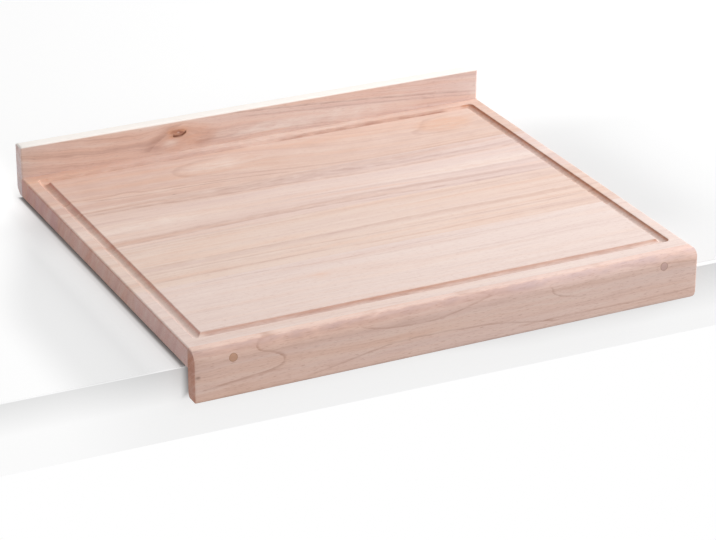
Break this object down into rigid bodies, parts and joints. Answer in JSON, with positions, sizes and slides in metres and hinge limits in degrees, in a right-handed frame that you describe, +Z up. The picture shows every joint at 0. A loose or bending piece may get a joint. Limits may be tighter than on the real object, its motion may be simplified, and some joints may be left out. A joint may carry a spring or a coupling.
{
  "type": "over-the-edge cutting board",
  "caption": "Flat wooden cutting board with a juice groove, a front lip that hooks over a worktop's edge and a low upstand along the back.",
  "frame": {"origin": "middle of the board's length, where the board's underside (the worktop's top) meets the lip's inner face (the worktop's front edge)", "axes": "+X along the worktop's edge, +Y away from the cook towards the upstand, +Z up"},
  "size_m": [0.5, 0.44, 0.0795],
  "materials": {
    "stave_wood": "oiled, fine sanded",
    "lip_wood": "oiled, fine sanded",
    "upstand_wood": "oiled, fine sanded",
    "dowel_wood": "end grain, sanded flush"
  },
  "bodies": {
    "root": {"front_stave": "stave_wood", "mid_front_stave": "stave_wood", "mid_back_stave": "stave_wood", "back_stave": "stave_wood", "front_lip": "lip_wood", "rear_upstand": "upstand_wood", "front_dowel_left": "dowel_wood", "front_dowel_right": "dowel_wood", "rear_dowel_left": "dowel_wood", "rear_dowel_right": "dowel_wood"}
  },
  "joints": []
}
